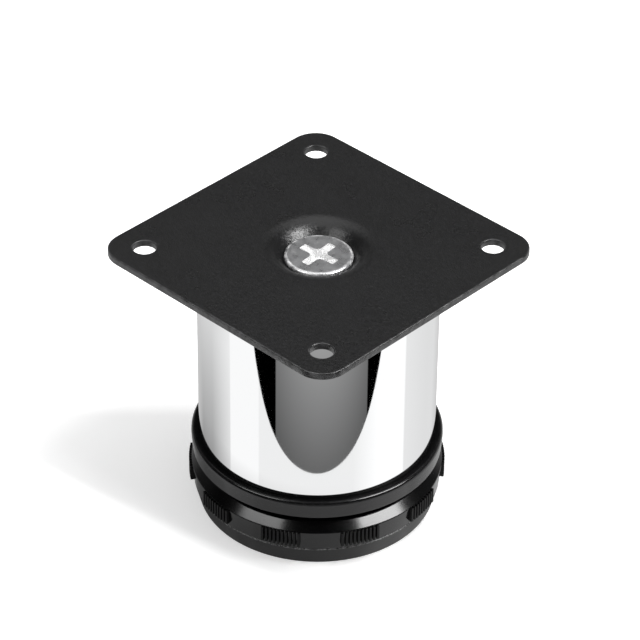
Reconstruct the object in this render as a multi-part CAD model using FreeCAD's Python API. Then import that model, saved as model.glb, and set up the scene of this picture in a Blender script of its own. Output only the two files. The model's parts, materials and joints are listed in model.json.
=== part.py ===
import FreeCAD, Part
import math
import os

# Short adjustable furniture leg, in millimetres.
# The origin is on the floor under the middle of the tube, and Z points up to the plate.

# Driving sizes
leg_height = 62.5
plate_side = 64.0
plate_corner = 5.8
sheet = 1.5
hole_pitch = 50.0
hole_radius = 2.4
tube_radius = 25.0
tube_wall = 1.2
travel = 15.0

# Clearances
slip_gap = 0.1
running_gap = 0.06
nesting_gap = 0.3
tip_gap = 3.0

# Heights of the foot, from the floor up
seam_height = 4.5
lug_low = 6.0
ring_top = 9.3
shoulder_top = 11.1
collar_low = 12.85
collar_top = 17.05

# Radii of the foot
floor_radius = 25.1
ring_radius = 26.2
collar_radius_low = 26.4
collar_radius_top = 26.65
neck_radius = 21.0
thread_root_radius = 16.6
land_radius = 18.0
shoulder_slope = 40.0

# Grip lugs on the ring
lug_count = 10
lug_radius = 27.2
lug_middle_turn = -62.7
lug_turn = 18.3
groove_count = 9
groove_step = 1.81
groove_width = 0.42
groove_depth = 0.75

# Pressed dimple and its screw
dimple_rim = 12.0
dimple_bend = 5.0
screw_hole_radius = 4.5
head_radius = 7.1
head_land = 1.0
head_sunk = 1.8
screw_radius = 4.0
recess_span = 8.8
recess_arm = 2.0
recess_depth = 3.6
recess_turn = 4.4

# Captive nut
nut_flats = 13.0
nut_height = 6.5

# Plastic sections
socket_wall = 2.7
socket_height = 21.0
rib_thickness = 1.8
socket_ribs = 8
plug_height = 16.0
plug_wall = 1.8
plug_web = 3.2
plug_ribs = 6
boss_radius = 9.6
glide_floor = 2.4
skirt_wall = 2.4
pin_radius = 5.0

# Worked out from the sizes above
plate_low = leg_height - sheet
tube_inner = tube_radius - tube_wall
bore_radius = land_radius + running_gap
spigot_top = collar_low + travel + 9.0
head_top = leg_height - head_sunk
screw_tip = spigot_top + tip_gap
slope = math.sqrt(0.5)
edge_break = sheet / 8


def point(radius, height):
    return FreeCAD.Vector(radius, 0, height)


def turned(corners):
    """A solid of revolution about Z from its half section, given as (radius, height) corners."""
    outline = Part.makePolygon([point(*corner) for corner in corners + corners[:1]])
    return Part.Face(outline).revolve(point(0, 0), FreeCAD.Vector(0, 0, 1), 360)


def upright(radius, low, high):
    return Part.makeCylinder(radius, high - low, point(0, low))


def block(size, middle):
    """A box of the given size whose middle is at the given place."""
    corner = FreeCAD.Vector(*middle) - FreeCAD.Vector(*size) * 0.5
    return Part.makeBox(size[0], size[1], size[2], corner)


def turned_copy(shape, degrees):
    copy = shape.copy()
    copy.rotate(point(0, 0), FreeCAD.Vector(0, 0, 1), degrees)
    return copy


def around(shape, count, first=0.0):
    """Copies of a shape, evenly spaced about Z."""
    return [turned_copy(shape, first + index * 360.0 / count) for index in range(count)]


def radial_rib(inner, outer, thickness, low, high):
    size = (outer - inner, thickness, high - low)
    return block(size, ((inner + outer) / 2, 0, (low + high) / 2))


def bend_points(radius):
    """Points along the dimple's rolled rim, from flat sheet to the 45 degree seat."""
    centre_height = leg_height - dimple_bend
    points = []
    for step in range(5):
        angle = math.radians(90 + 45 * step / 4)
        points.append((dimple_rim + radius * math.cos(angle),
                       centre_height + radius * math.sin(angle)))
    return points


def seat_end(start, radius):
    """Where the 45 degree seat that begins at start reaches the given radius."""
    return (radius, start[1] - (start[0] - radius))


def dimple_section():
    """Half section of the pressed dimple: one sheet thickness all the way down."""
    top = bend_points(dimple_bend)
    top.append(seat_end(top[-1], screw_hole_radius))
    under = bend_points(dimple_bend - sheet)
    under.append(seat_end(under[-1], screw_hole_radius + sheet * slope))
    return top + under[::-1]


def mounting_plate():
    middle = (0, 0, leg_height - sheet / 2)
    plate = block((plate_side, plate_side, sheet), middle)
    corners = [edge for edge in plate.Edges if abs(edge.Vertexes[0].Z - edge.Vertexes[1].Z) > sheet / 2]
    plate = plate.makeFillet(plate_corner, corners)
    rim = [edge for edge in plate.Edges if edge.BoundBox.ZLength < 1e-6]
    plate = plate.makeChamfer(edge_break, rim)
    plate = plate.cut(upright(dimple_rim, plate_low - 1, leg_height + 1))
    plate = plate.fuse(turned(dimple_section()))
    for x in (-hole_pitch / 2, hole_pitch / 2):
        for y in (-hole_pitch / 2, hole_pitch / 2):
            place = FreeCAD.Vector(x, y, plate_low - 1)
            plate = plate.cut(Part.makeCylinder(hole_radius, sheet + 2, place))
    return plate.removeSplitter()


def recess_arm_cut():
    """One tapered arm of the cross recess, cut from the head's face downwards."""
    wires = []
    for height, span, width in ((head_top + 0.01, recess_span, recess_arm),
                                (head_top - recess_depth, recess_span * 0.42, recess_arm * 0.7)):
        x, y = span / 2, width / 2
        corners = [(-x, -y), (x, -y), (x, y), (-x, y), (-x, -y)]
        wires.append(Part.makePolygon([FreeCAD.Vector(a, b, height) for a, b in corners]))
    return Part.makeLoft(wires, True, True)


def plate_screw():
    land_low = head_top - head_land
    cone_low = land_low - (head_radius - screw_radius)
    screw = turned([(0, head_top), (head_radius - edge_break, head_top),
                    (head_radius, head_top - edge_break), (head_radius, land_low),
                    (screw_radius, cone_low), (screw_radius, screw_tip + 0.8),
                    (screw_radius - 0.8, screw_tip), (0, screw_tip)])
    heart = Part.makeCone(recess_arm * 0.45, recess_arm * 0.95, recess_depth + 0.5,
                          point(0, head_top - recess_depth - 0.49))
    for turn in (recess_turn, recess_turn + 90):
        screw = screw.cut(turned_copy(recess_arm_cut(), turn))
    return screw.cut(heart)


def hexagon(flats, low, high):
    corner = flats / math.sqrt(3)
    ring = [FreeCAD.Vector(corner * math.cos(math.radians(60 * k)),
                           corner * math.sin(math.radians(60 * k)), low) for k in range(7)]
    return Part.Face(Part.makePolygon(ring)).extrude(FreeCAD.Vector(0, 0, high - low))


def nut_span():
    """Low and high ends of the captive nut, a little way up from the screw's tip."""
    low = screw_tip + screw_radius * 0.6
    return low, low + nut_height


def plate_nut():
    low, high = nut_span()
    nut = hexagon(nut_flats, low, high)
    corner = nut_flats / math.sqrt(3)
    bevel = nut_flats * 0.06
    turned_blank = turned([(0, low), (corner - bevel, low), (corner, low + bevel * 0.6),
                           (corner, high - bevel * 0.6), (corner - bevel, high), (0, high)])
    bore = upright(screw_radius + slip_gap / 2, low - 1, high + 1)
    return nut.common(turned_blank).cut(bore)


def top_plug():
    """Ribbed plastic plug in the tube's upper end, hollowed for the dimple and the nut."""
    low = plate_low - plug_height
    web_low = plate_low - plug_web
    nut_low, nut_high = nut_span()
    outer = tube_inner - slip_gap
    plug = turned([(0, nut_low), (boss_radius, nut_low), (boss_radius, web_low),
                   (outer - plug_wall, web_low), (outer - plug_wall, low), (outer - 0.6, low),
                   (outer, low + 1.5), (outer, plate_low), (0, plate_low)])
    rib = radial_rib(boss_radius - 1, outer - plug_wall / 2, plug_wall, low + 1, web_low + 0.5)
    for piece in around(rib, plug_ribs, 180 / plug_ribs):
        plug = plug.fuse(piece)
    under = bend_points(dimple_bend - sheet - nesting_gap)
    seat_low = seat_end(under[-1], screw_hole_radius + 0.6)
    hollow = turned([(0, plate_low + 1), (dimple_rim + 1.2, plate_low + 1), (dimple_rim + 1.2, under[0][1])]
                    + under + [seat_low, (0, seat_low[1])])
    plug = plug.cut(hollow)
    plug = plug.cut(upright(screw_hole_radius, nut_low - 1, plate_low))
    return plug.cut(hexagon(nut_flats + 2 * slip_gap, nut_low - 1, nut_high)).removeSplitter()


def leg_tube():
    return turned([(tube_inner, collar_top), (tube_radius - edge_break, collar_top),
                   (tube_radius, collar_top + edge_break), (tube_radius, plate_low - edge_break),
                   (tube_radius - edge_break, plate_low), (tube_inner, plate_low)])


def foot_socket():
    """Insert in the tube's lower end: outside collar, running bore and ribbed barrel."""
    top = collar_top + socket_height
    barrel = bore_radius + socket_wall
    lip = 0.3
    socket = turned([(bore_radius + 0.8, collar_low), (collar_radius_low - lip, collar_low),
                     (collar_radius_low, collar_low + lip), (collar_radius_top, collar_top - lip),
                     (collar_radius_top - lip, collar_top), (barrel, collar_top), (barrel, top),
                     (bore_radius, top), (bore_radius, collar_low + 0.8)])
    tip = tube_inner - slip_gap
    rib = radial_rib(barrel - 1, tip, rib_thickness, collar_top - 0.5, top - 2)
    lead = turned([(0, collar_top - 1), (tip, collar_top - 1), (tip, top - 5), (barrel, top - 1), (0, top - 1)])
    for piece in around(rib.common(lead), socket_ribs, 180 / socket_ribs):
        socket = socket.fuse(piece)
    return socket.removeSplitter()


def shoulder_points():
    """The rounded shoulder between the grip ring and the neck, rising inwards."""
    low, high = math.radians(shoulder_slope), math.radians(90)
    bend = (shoulder_top - ring_top) / (math.sin(high) - math.sin(low))
    centre_radius = ring_radius - 0.15 - bend * math.cos(low)
    points = []
    for step in range(5):
        angle = low + (high - low) * step / 4
        points.append((centre_radius + bend * math.cos(angle), shoulder_top - bend + bend * math.sin(angle)))
    return points


def lug_corner(x, y, turn):
    """A corner of the lug's outline, given beside the X axis and then turned about Z."""
    angle = math.radians(turn)
    return FreeCAD.Vector(x * math.cos(angle) - y * math.sin(angle),
                          x * math.sin(angle) + y * math.cos(angle), lug_low)


def grip_lug():
    """One raised lug with its row of narrow grooves, centred on the X axis."""
    half_turn = lug_turn / 2
    root = ring_radius - 1.0
    floor = lug_radius - groove_depth
    side = groove_width / 2
    outline = [lug_corner(root, 0, -half_turn), lug_corner(lug_radius, 0, -half_turn)]
    for index in range(groove_count):
        turn = (index - (groove_count - 1) / 2) * groove_step
        outline += [lug_corner(x, y, turn) for x, y in ((lug_radius, -side), (floor, -side),
                                                        (floor, side), (lug_radius, side))]
    outline += [lug_corner(lug_radius, 0, half_turn), lug_corner(root, 0, half_turn)]
    face = Part.Face(Part.makePolygon(outline + outline[:1]))
    return face.extrude(FreeCAD.Vector(0, 0, ring_top - lug_low))


def adjuster():
    """Turned by hand: grip ring, rounded shoulder, stop neck and hollow spigot."""
    cap = 2.6
    spigot_inner = thread_root_radius - 2.8
    web_low = shoulder_top - 2.5
    hub_low = seam_height + 0.5
    skirt_inner = ring_radius - skirt_wall
    pin_bore = pin_radius + running_gap
    hub = pin_radius + 3.0
    land_low = spigot_top - 4.0
    section = [(skirt_inner, seam_height), (ring_radius, seam_height), (ring_radius, ring_top - 0.15)]
    section += shoulder_points()
    section += [(neck_radius, shoulder_top), (neck_radius, collar_low), (thread_root_radius, collar_low),
                (thread_root_radius, land_low - 1.4), (land_radius, land_low), (land_radius, spigot_top - 1),
                (land_radius - 1, spigot_top), (0, spigot_top), (0, spigot_top - cap),
                (spigot_inner, spigot_top - cap), (spigot_inner, shoulder_top), (pin_bore, shoulder_top),
                (pin_bore, hub_low), (hub, hub_low), (hub, web_low), (skirt_inner, web_low)]
    body = turned(section)
    lugs = around(grip_lug(), lug_count, lug_middle_turn)
    return body.fuse(lugs).removeSplitter()


def floor_glide():
    """Base that stays still on the floor while the ring turns on its snap pin."""
    hook_low = shoulder_top + slip_gap
    wall_inner = ring_radius - skirt_wall
    section = [(0, 0.6), (floor_radius * 0.72, 0.6), (floor_radius * 0.74, 0), (floor_radius - 0.3, 0),
               (floor_radius, 0.3), (ring_radius, seam_height - 0.3), (ring_radius - 0.25, seam_height),
               (wall_inner, seam_height), (wall_inner, glide_floor), (pin_radius, glide_floor),
               (pin_radius, hook_low), (pin_radius + 0.6, hook_low), (pin_radius + 0.6, hook_low + 0.6),
               (pin_radius - 0.6, hook_low + 2.2), (0, hook_low + 2.2)]
    glide = turned(section)
    slit_low = seam_height + 1.0
    slit = block((4 * pin_radius, 1.4, 8.0), (0, 0, slit_low + 4.0))
    glide = glide.cut(slit)
    return glide.cut(turned_copy(slit, 90))


os.makedirs("parts", exist_ok=True)
for make in (mounting_plate, plate_screw, plate_nut, top_plug, leg_tube, foot_socket, adjuster, floor_glide):
    make().exportStep("parts/" + make.__name__ + ".step")
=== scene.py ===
import json
import math

import bmesh
import bpy
from bpy.props import FloatProperty, FloatVectorProperty, IntProperty, PointerProperty
from bpy.types import Operator, Panel, PropertyGroup
from mathutils import Matrix, Vector


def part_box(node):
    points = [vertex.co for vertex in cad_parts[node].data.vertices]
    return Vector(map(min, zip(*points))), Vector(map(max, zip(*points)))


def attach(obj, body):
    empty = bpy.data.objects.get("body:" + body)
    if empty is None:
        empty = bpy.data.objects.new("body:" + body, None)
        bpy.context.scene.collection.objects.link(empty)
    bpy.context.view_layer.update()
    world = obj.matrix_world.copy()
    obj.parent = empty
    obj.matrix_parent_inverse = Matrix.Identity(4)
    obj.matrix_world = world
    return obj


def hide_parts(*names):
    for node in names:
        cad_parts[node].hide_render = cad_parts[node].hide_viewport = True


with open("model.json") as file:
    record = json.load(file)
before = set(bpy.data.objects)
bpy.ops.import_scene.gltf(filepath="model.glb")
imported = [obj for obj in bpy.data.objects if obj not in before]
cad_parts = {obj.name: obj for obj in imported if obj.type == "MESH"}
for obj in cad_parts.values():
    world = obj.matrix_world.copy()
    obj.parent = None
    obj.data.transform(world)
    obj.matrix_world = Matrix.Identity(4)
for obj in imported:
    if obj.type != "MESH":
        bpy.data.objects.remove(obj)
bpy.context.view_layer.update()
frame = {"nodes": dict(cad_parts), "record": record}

bl_info = {
    "name": "Adjustable furniture leg",
    "version": (1, 0, 0),
    "blender": (4, 5, 0),
    "location": "3D View > Sidebar > Leg",
    "description": "Builds the looks of a short chromed furniture leg on its solid frame",
    "category": "Object",
}

# Places and sizes that come from the frame, in metres
plate_low, plate_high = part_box("mounting_plate")
screw_low, screw_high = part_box("plate_screw")
tube_low, tube_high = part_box("leg_tube")
socket_low, socket_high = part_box("foot_socket")
adjuster_low, adjuster_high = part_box("adjuster")
glide_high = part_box("floor_glide")[1]
hole_facts = next(mount for mount in frame["record"]["mounts"] if mount["name"] == "plate_holes")["dims"]

# In metres too: a millimetre, the largest sliver that is cleaned away and the gap of points that touch
mm = 0.001
sliver = 1e-6
touching = 1e-7


def length(name, default, description):
    return FloatProperty(name=name, description=description, default=default, min=0.0, precision=5,
                         unit="LENGTH", subtype="DISTANCE")


def offset(name, default, description):
    return FloatProperty(name=name, description=description, default=default, precision=5,
                         unit="LENGTH", subtype="DISTANCE")


def angle(name, degrees, description):
    return FloatProperty(name=name, description=description, default=math.radians(degrees),
                         unit="ROTATION", subtype="ANGLE")


def level(name, default, description):
    return FloatProperty(name=name, description=description, default=default, min=0.0, soft_max=1.0,
                         subtype="FACTOR")


def colour(name, default, description):
    return FloatVectorProperty(name=name, description=description, default=default, min=0.0, max=1.0,
                               subtype="COLOR")


def count(name, default, description):
    return IntProperty(name=name, description=description, default=default, min=1)


class PlateSizes(PropertyGroup):
    side: length("Side", plate_high.x - plate_low.x, "Side of the square plate")
    top: length("Top", plate_high.z, "Height of the plate's upper face")
    sheet: length("Sheet", 1.5 * mm, "Thickness of the sheet")
    corner: length("Corner", 5.8 * mm, "Radius of the plate's corners")
    hole_pitch: length("Hole pitch", hole_facts["spacing_x_mm"] * mm, "Spacing of the screw holes")
    hole_radius: length("Hole radius", hole_facts["hole_r_mm"] * mm, "Radius of the screw holes")
    top_roll: length("Upper roll", 0.22 * mm, "Rounding of the upper edges under the coat")
    low_roll: length("Lower roll", 0.18 * mm, "Rounding of the lower edges under the coat")
    dimple_rim: length("Dimple rim", 12.0 * mm, "Radius at which the dimple begins")
    dimple_bend: length("Dimple bend", 5.0 * mm, "Bend radius of the dimple's rolled rim")
    dimple_hole: length("Dimple hole", 4.5 * mm, "Radius of the hole in the dimple")


class ScrewSizes(PropertyGroup):
    head_radius: length("Head radius", screw_high.x, "Radius of the countersunk head")
    head_top: length("Head top", screw_high.z, "Height of the head's face")
    head_land: length("Head land", 1.0 * mm, "Upright band round the head")
    tip: length("Tip", screw_low.z, "Height of the shank's end")
    root: length("Thread root", 3.4 * mm, "Radius at the foot of the thread")
    crest: length("Thread crest", 3.96 * mm, "Radius at the top of the thread")
    pitch: length("Thread pitch", 1.25 * mm, "Rise of the thread in one turn")
    recess_span: length("Recess span", 8.8 * mm, "Reach of the cross recess")
    recess_arm: length("Recess arm", 1.9 * mm, "Width of one arm of the recess")
    recess_depth: length("Recess depth", 2.0 * mm, "Depth of the recess")
    recess_turn: angle("Recess turn", 4.4, "Turn of the cross about the screw's axis")


class TubeSizes(PropertyGroup):
    radius: length("Radius", tube_high.x, "Outer radius of the tube")
    wall: length("Wall", 1.2 * mm, "Wall of the tube")
    low: length("Lower end", tube_low.z, "Height of the tube's lower end")
    high: length("Upper end", tube_high.z, "Height of the tube's upper end")
    edge: length("Edge", 0.16 * mm, "Rounding of the cut ends")


class SocketSizes(PropertyGroup):
    low: length("Collar underside", socket_low.z, "Height of the collar's underside")
    ledge: length("Collar ledge", tube_low.z, "Height of the ledge that carries the tube")
    high: length("Barrel top", socket_high.z, "Height of the barrel's top")
    radius_low: length("Lower radius", 26.4 * mm, "Radius at the collar's lower edge")
    radius_top: length("Upper radius", socket_high.x, "Radius at the collar's upper edge")
    lip: length("Lip", 0.85 * mm, "Rounding of the collar's upper edge")
    low_lip: length("Lower lip", 0.35 * mm, "Rounding of the collar's lower edge")
    bore: length("Bore", 18.06 * mm, "Radius of the bore for the adjuster")
    wall: length("Barrel wall", 2.7 * mm, "Wall of the barrel inside the tube")
    rib: length("Rib", 1.8 * mm, "Thickness of a rib")
    ribs: count("Ribs", 8, "Ribs that centre the barrel in the tube")


class AdjusterSizes(PropertyGroup):
    low: length("Ring underside", adjuster_low.z, "Height of the seam under the ring")
    ring_top: length("Ring top", 9.2 * mm, "Height of the ring's upper edge")
    ring_top_radius: length("Ring top radius", 26.7 * mm, "Radius of the ring at its upper edge")
    shoulder: length("Shoulder top", 11.1 * mm, "Height at which the shoulder ends")
    slope: angle("Shoulder slope", 46.5, "Slope at which the shoulder leaves the ring")
    slope_run: length("Shoulder run", 2.0 * mm, "Straight stretch of the shoulder above the ring")
    neck_top: length("Neck top", socket_low.z, "Height of the face that stops against the collar")
    high: length("Spigot top", adjuster_high.z, "Height of the spigot's top")
    ring_radius: length("Ring radius", glide_high.x, "Radius of the grip ring")
    skirt_wall: length("Skirt wall", 2.4 * mm, "Wall of the ring's skirt")
    neck_radius: length("Neck radius", 21.0 * mm, "Radius of the stop neck")
    root: length("Thread root", 16.6 * mm, "Radius at the foot of the thread")
    crest: length("Thread crest", 17.9 * mm, "Radius at the top of the thread")
    land: length("Guide land", 18.0 * mm, "Radius of the guide land above the thread")
    pitch: length("Thread pitch", 4.0 * mm, "Rise of the thread in one turn")
    pin_bore: length("Pin bore", 5.06 * mm, "Radius of the hole for the glide's pin")


class GripSizes(PropertyGroup):
    lugs: count("Lugs", 10, "Raised lugs round the ring")
    middle_turn: angle("First lug", -62.25, "Turn of the first lug's middle about the axis")
    radius: length("Lug radius", adjuster_high.x, "Radius over the lugs")
    root: length("Lug root", 25.6 * mm, "Radius at which a lug is joined to the ring")
    low: length("Lug underside", 5.6 * mm, "Height of the lugs' undersides")
    high: length("Lug top", 9.05 * mm, "Height of the lugs' tops")
    turn: angle("Lug turn", 17.7, "Turn that one lug takes up")
    grooves: count("Grooves", 9, "Grooves in one lug")
    step: angle("Groove step", 1.83, "Turn from one groove to the next")
    width: length("Groove width", 0.42 * mm, "Width of a groove")
    depth: length("Groove depth", 0.75 * mm, "Depth of a groove")
    edge: length("Edge", 0.04 * mm, "Bevel along the lugs' upper and lower edges")


class GlideSizes(PropertyGroup):
    floor_radius: length("Floor radius", 25.1 * mm, "Radius at the floor")
    recess: length("Floor recess", 0.6 * mm, "Depth of the recess under the glide")
    floor: length("Base", 2.4 * mm, "Thickness of the glide's base")
    pin: length("Pin", 5.0 * mm, "Radius of the snap pin")
    pin_top: length("Pin top", glide_high.z, "Height of the snap pin's top")
    slit: length("Slit", 1.4 * mm, "Width of the slits in the snap pin")


class Finishes(PropertyGroup):
    coat: colour("Powder coat", (0.0017, 0.0017, 0.0020), "Black powder coat of the plate")
    # Paler coat along the edges: rubbed thin there, and a painted highlight along the plate's edges
    coat_rub_and_highlight: colour("Rubbed coat and highlight", (0.11, 0.11, 0.113), "Coat worn thin along the edges")
    zinc: colour("Zinc", (0.90, 0.905, 0.92), "Zinc plating of the screw and nut")
    # Bright zinc: rubbed bright by the driver, and painted as a highlight on the head's rim and in the
    # recess
    zinc_bright_and_highlight: colour("Bright zinc", (0.97, 0.97, 0.97), "Zinc rubbed bright by the driver")
    chrome: colour("Chrome", (0.955, 0.960, 0.965), "Chrome plating of the tube")
    collar: colour("Collar plastic", (0.0045, 0.0045, 0.0049), "Moulded plastic of the insert")
    foot: colour("Foot plastic", (0.0012, 0.0012, 0.0014), "Moulded plastic of the adjuster")
    glide: colour("Glide plastic", (0.0028, 0.0028, 0.0030), "Matte plastic of the glide")
    # Seam colour: a painted highlight along the seam, where the glide's chamfer catches light
    seam: colour("Seam highlight", (0.30, 0.30, 0.30), "Pale moulding edge along the seam of the foot")
    plug: colour("Plug plastic", (0.0300, 0.0300, 0.0310), "Plastic of the hidden plug")


class StageSizes(PropertyGroup):
    azimuth: angle("Azimuth", 43.694, "Turn of the camera round the leg")
    elevation: angle("Elevation", 36.089, "Height of the camera above the horizon")
    roll: angle("Roll", 0.598, "Roll of the camera about its own axis")
    distance: length("Distance", 653.05 * mm, "Distance from the camera to the point it looks at")
    target_side: length("Target side", 0.382 * mm, "Point looked at, to the right of the axis")
    target_height: length("Target height", 44.104 * mm, "Height of the point looked at")
    lens: FloatProperty(name="Lens", description="Focal length", default=178.04, unit="CAMERA")
    key: level("Key lamp", 17.5, "Brightness of the soft lamp that casts the shadow")
    sheen: level("Right sheen", 18.0, "Brightness of the right softbox, which only gloss shows")
    left_sheen: level("Left sheen", 5.4, "Brightness of the left softbox, which only gloss shows")
    side: level("Side lamp", 2.3, "Brightness of the soft lamp behind the leg on the right")
    sky: level("Sky", 1.2, "Brightness of the ceiling in gloss and metal")
    ambient: level("Ambient", 0.55, "Light from all round")
    horizon: level("Horizon", 0.5, "Brightness of the low wall behind the leg in gloss and metal")
    backdrop: level("Backdrop", 0.145, "Brightness of the wall behind the leg in gloss and metal")
    front: level("Front", 0.01, "Brightness of the room before the leg in gloss and metal")
    floor_white: level("Floor white", 0.82, "Albedo of the floor")
    floor_lift: level("Floor lift", 0.485, "White added to the floor where it is seen")
    # Painted light: where the floor is painted white, behind the leg and before it on the left, cutting its
    # shadow off
    fade_start: offset("Fade start", -24.0 * mm, "Where the floor behind the leg begins to fade to white")
    fade_end: offset("Fade end", -37.0 * mm, "Where the floor behind the leg is white")
    front_fade: offset("Front fade", 27.8 * mm, "Where the floor before the leg begins to fade to white")
    front_fade_end: offset("Front fade end", 35.0 * mm, "Where the floor before the leg is white")
    front_turn: angle("Front turn", -35.0, "Turn from the camera to the side on which the floor fades")
    # The painted reflection: tones of a glowing sheet that stand in for the table as the tube mirrors it,
    # darker where the leg's shadow falls on the floor
    dark_edge: length("Dark edge", 54.2 * mm, "Where the dark end of the table begins, before the leg")
    left_painted_reflection: level("Left painted reflection", 0.43, "Tone of the table on the left, as the tube mirrors it")
    front_painted_reflection: level("Front painted reflection", 0.90, "Tone of the table before the leg, as the tube mirrors it")
    right_painted_reflection: level("Right painted reflection", 0.77, "Tone of the table on the right, as the tube mirrors it")


class LegSettings(PropertyGroup):
    plate: PointerProperty(type=PlateSizes)
    screw: PointerProperty(type=ScrewSizes)
    tube: PointerProperty(type=TubeSizes)
    socket: PointerProperty(type=SocketSizes)
    adjuster: PointerProperty(type=AdjusterSizes)
    grip: PointerProperty(type=GripSizes)
    glide: PointerProperty(type=GlideSizes)
    finishes: PointerProperty(type=Finishes)
    stage: PointerProperty(type=StageSizes)
    sides: count("Sides", 192, "Sides of a full turn")


# Meshes

def rolled(corners, steps=6):
    """A half section with rolled corners, each given as (radius, height, roll).

    It gives (radius, height, edge) points, where edge is 1 on a roll and 0 on a flat.
    """
    points = []
    for index, (radius, height, roll) in enumerate(corners):
        if roll == 0:
            points.append((radius, height, 0.0))
            continue
        here = Vector((radius, height))
        before = (Vector(corners[index - 1][:2]) - here).normalized()
        after = (Vector(corners[(index + 1) % len(corners)][:2]) - here).normalized()
        half = before.angle(after) / 2
        reach = roll / math.tan(half)
        centre = here + (before + after).normalized() * (roll / math.sin(half))
        arm = here + before * reach - centre
        sweep = (math.pi - 2 * half) * (1 if before.cross(after) < 0 else -1)
        # The edge value fades out over a short stretch of flat on either side of the roll
        faded = reach + roll * 0.4
        points.append((*(here + before * faded), 0.0))
        for step in range(steps + 1):
            points.append((*(centre + Matrix.Rotation(sweep * step / steps, 2) @ arm), 1.0))
        points.append((*(here + after * faded), 0.0))
    return points


def arc(centre, radius, first, last, steps, edge=1.0):
    """Points of a half section along an arc, with the angles in degrees."""
    points = []
    for step in range(steps + 1):
        turn = math.radians(first + (last - first) * step / steps)
        points.append((centre[0] + radius * math.cos(turn), centre[1] + radius * math.sin(turn), edge))
    return points


def new_mesh():
    mesh = bmesh.new()
    mesh.verts.layers.float.new("edge")
    return mesh


def add_loop(mesh, places, edge=0.0):
    layer = mesh.verts.layers.float["edge"]
    loop = [mesh.verts.new(place) for place in places]
    for vertex in loop:
        vertex[layer] = edge
    return loop


def circle(radius, height, sides, centre=(0.0, 0.0)):
    turns = [math.tau * side / sides for side in range(sides)]
    return [(centre[0] + radius * math.cos(turn), centre[1] + radius * math.sin(turn), height)
            for turn in turns]


def skin(mesh, first, second):
    """Faces between two loops of equal count, or between a loop and a pole. Two poles have none."""
    if len(first) == len(second) == 1:
        return
    for side in range(max(len(first), len(second))):
        after = side + 1
        corners = [first[side % len(first)], first[after % len(first)],
                   second[after % len(second)], second[side % len(second)]]
        mesh.faces.new(list(dict.fromkeys(corners)))


def skin_all(mesh, loops, closed=False):
    for first, second in zip(loops, loops[1:] + (loops[:1] if closed else [])):
        skin(mesh, first, second)


def fill(mesh, loops):
    """A flat face within the first loop, with the other loops as its holes."""
    edges = []
    for loop in loops:
        edges += [mesh.edges.get(pair) or mesh.edges.new(pair) for pair in zip(loop, loop[1:] + loop[:1])]
    bmesh.ops.triangle_fill(mesh, edges=edges, use_beauty=True)


def turned_loops(mesh, section, sides):
    """A loop for each point of a half section, or a single point where it lies on the axis."""
    loops = []
    for radius, height, edge in section:
        places = circle(radius, height, sides) if radius > sliver else [(0.0, 0.0, height)]
        loops.append(add_loop(mesh, places, edge))
    return loops


def turned(section, sides, closed=True):
    """A shape turned about Z from its half section of (radius, height, edge) points.

    The section of a ring is closed. The section of a solid is open and runs from pole to pole.
    """
    mesh = new_mesh()
    skin_all(mesh, turned_loops(mesh, section, sides), closed)
    return mesh


def add_block(mesh, low, high, turn=0.0):
    """A closed box between two corners, turned about Z."""
    spin = Matrix.Rotation(turn, 3, "Z")
    loops = []
    for height in (low[2], high[2]):
        corners = [(low[0], low[1]), (high[0], low[1]), (high[0], high[1]), (low[0], high[1])]
        loops.append(add_loop(mesh, [spin @ Vector((x, y, height)) for x, y in corners]))
    skin_all(mesh, loops)
    for loop in loops:
        mesh.faces.new(loop)


def finished_mesh(name, mesh, sharp=math.radians(33)):
    """Turns a shape into mesh data with outward normals, smooth but for corners over the sharp angle."""
    bmesh.ops.recalc_face_normals(mesh, faces=mesh.faces)
    data = bpy.data.meshes.new(name)
    mesh.to_mesh(data)
    mesh.free()
    data.shade_smooth()
    data.set_sharp_from_angle(angle=sharp)
    return data


def add_piece(name, data, body, material, stands_for):
    """Puts a piece in the scene, riding on its body in place of the node it stands for."""
    data.materials.append(material)
    piece = bpy.data.objects.new(name, data)
    bpy.context.scene.collection.objects.link(piece)
    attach(piece, body)
    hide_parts(stands_for)
    return piece


def paint(piece, material, chosen):
    """Gives some faces of a piece a second material. The chosen test is told their middle and normal."""
    piece.data.materials.append(material)
    for face in piece.data.polygons:
        if chosen(face.center, face.normal):
            face.material_index = 1


# Node trees

class Field:
    """A number in a node tree. Arithmetic on it adds Math nodes."""

    def __init__(self, tree, socket):
        self.tree = tree
        self.socket = socket

    def maths(self, operation, *others):
        node = self.tree.nodes.new("ShaderNodeMath")
        node.operation = operation
        for slot, value in zip(node.inputs, (self, *others)):
            feed(self.tree, value, slot)
        return Field(self.tree, node.outputs[0])

    def __add__(self, other):
        return self.maths("ADD", other)

    def __sub__(self, other):
        return self.maths("SUBTRACT", other)

    def __mul__(self, other):
        return self.maths("MULTIPLY", other)

    def __truediv__(self, other):
        return self.maths("DIVIDE", other)

    def over(self, other):
        return self.maths("GREATER_THAN", other)

    def choose(self, low, high):
        """The low value where this is 0, the high value where it is 1."""
        return self * (high - low) + low

    def kept_within(self, low, high):
        return self.maths("MINIMUM", high).maths("MAXIMUM", low)

    def stretched(self, start, gain):
        """0 up to the start value, and from there up by the gain, to 1 at most."""
        return ((self - start) * gain).kept_within(0.0, 1.0)


def feed(tree, value, slot):
    """Sets a socket to a plain value, or links a field or another socket to it."""
    if isinstance(value, Field):
        value = value.socket
    if isinstance(value, bpy.types.NodeSocket):
        tree.links.new(value, slot)
    else:
        slot.default_value = value


def add_node(tree, kind, inputs=(), **settings):
    node = tree.nodes.new(kind)
    for name, value in settings.items():
        setattr(node, name, value)
    for slot, value in dict(inputs).items():
        feed(tree, value, node.inputs[slot])
    return node


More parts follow.
